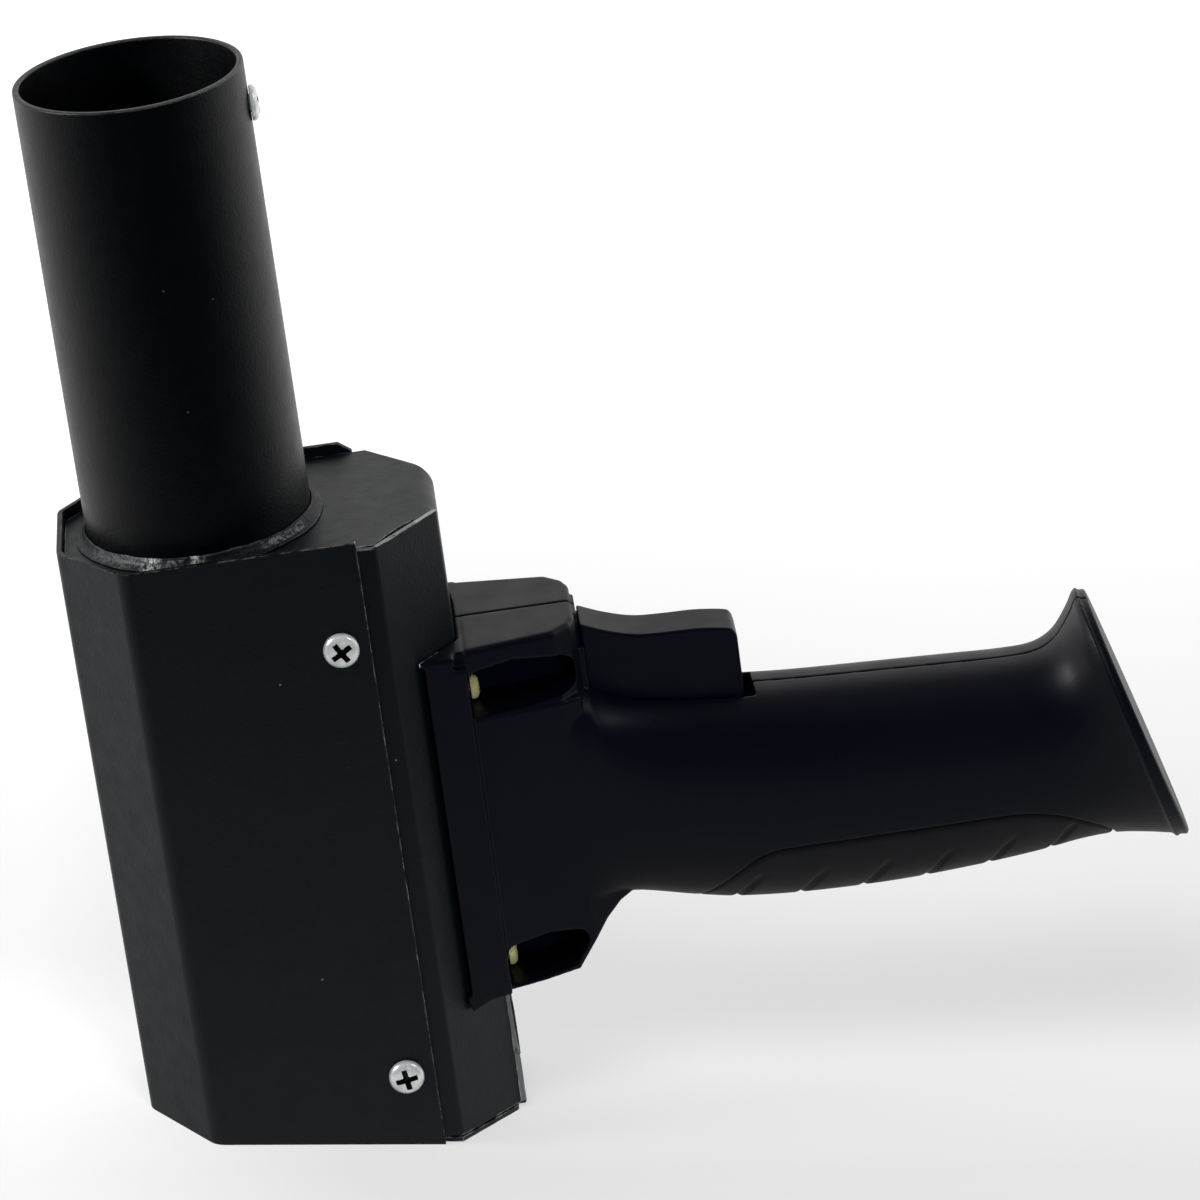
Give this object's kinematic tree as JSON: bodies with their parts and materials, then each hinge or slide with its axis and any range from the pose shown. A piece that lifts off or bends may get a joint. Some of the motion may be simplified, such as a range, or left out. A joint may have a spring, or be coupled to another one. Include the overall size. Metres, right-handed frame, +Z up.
{
  "type": "cold spark launcher",
  "caption": "Hand-held pistol launcher for cold spark cartridges: leaning launch tube on a folded steel box, moulded grip with trigger, switch and battery.",
  "frame": {"origin": "middle of the bottom plate's underside, on the surface that the launcher stands on", "axes": "+X from the box towards the pistol grip, +Y to the back shell, +Z up; the tube leans 9 degrees towards -X"},
  "size_m": [0.2702, 0.0672, 0.2502],
  "materials": {
    "powder_coat": "satin black powder coat, fine orange peel",
    "handle_plastic": "moulded black, satin",
    "trigger_plastic": "moulded black, smoother than the shells",
    "pad_rubber": "soft black grip inlay",
    "bright_zinc": "bright zinc plate",
    "yellow_zinc": "yellow passivated zinc plate",
    "steel": "plain steel",
    "brass": "turned brass",
    "laminate": "brown paper laminate",
    "terminal_plastic": "off-white nylon",
    "switch_plastic": "black thermoset",
    "button_plastic": "red moulded",
    "battery_jacket": "printed steel jacket, left plain",
    "lead_jacket": "black flexible insulation",
    "grommet_rubber": "black rubber"
  },
  "bodies": {
    "launcher": {"chassis": "powder_coat", "cover": "powder_coat", "barrel_tube": "powder_coat", "barrel_weld": "powder_coat", "grip_shell_front": "handle_plastic", "grip_shell_back": "handle_plastic", "palm_pad": "pad_rubber", "cover_screw_front_upper": "bright_zinc", "cover_screw_front_lower": "bright_zinc", "cover_screw_back_upper": "bright_zinc", "cover_screw_back_lower": "bright_zinc", "grip_screw_1": "bright_zinc", "grip_screw_2": "bright_zinc", "grip_screw_3": "bright_zinc", "grip_screw_4": "bright_zinc", "backing_plate": "bright_zinc", "flange_screw_front_upper": "yellow_zinc", "flange_screw_front_lower": "yellow_zinc", "flange_screw_back_upper": "yellow_zinc", "flange_screw_back_lower": "yellow_zinc", "breech_ring": "steel", "trigger_pivot": "steel", "trigger_spring": "steel", "battery_clip": "steel", "contact_stud_left": "brass", "contact_stud_right": "brass", "contact_nut_left": "brass", "contact_nut_right": "brass", "breech_insulator": "laminate", "terminal_block": "terminal_plastic", "switch_body": "switch_plastic", "battery": "battery_jacket", "switch_lead": "lead_jacket", "breech_lead": "lead_jacket", "battery_lead": "lead_jacket", "battery_snap": "lead_jacket", "wire_grommet": "grommet_rubber"},
    "trigger": {"trigger": "trigger_plastic"},
    "switch_lever": {"switch_lever": "steel"},
    "switch_button": {"switch_button": "button_plastic"},
    "retaining_screw": {"retaining_screw": "bright_zinc"}
  },
  "joints": [
    {"name": "trigger_hinge", "type": "hinge", "parent": "launcher", "child": "trigger", "pos_m": [0.06103, 0, 0.09471], "axis": [0, 1, 0], "range_deg": [0, 7], "stiffness_Nm_per_rad": 0.4, "springref_deg": -5.73, "deforming": ["trigger_spring"]},
    {"name": "switch_lever_hinge", "type": "hinge", "parent": "launcher", "child": "switch_lever", "pos_m": [0.07606, 0, 0.08616], "axis": [0, 1, 0], "range_deg": [0, 14]},
    {"name": "switch_button_slide", "type": "slide", "parent": "launcher", "child": "switch_button", "axis": [0.1564, 0, -0.9877], "range_m": [0, 0.0014]},
    {"name": "retaining_screw_slide", "type": "slide", "parent": "launcher", "child": "retaining_screw", "axis": [0.9877, 0, 0.1564], "range_m": [0, 0.006]}
  ],
  "couplings": [
    {"joint": "switch_lever_hinge", "follows": "trigger_hinge", "ratio": 1.93},
    {"joint": "switch_button_slide", "follows": "trigger_hinge", "m_per_rad": 0.0106}
  ]
}
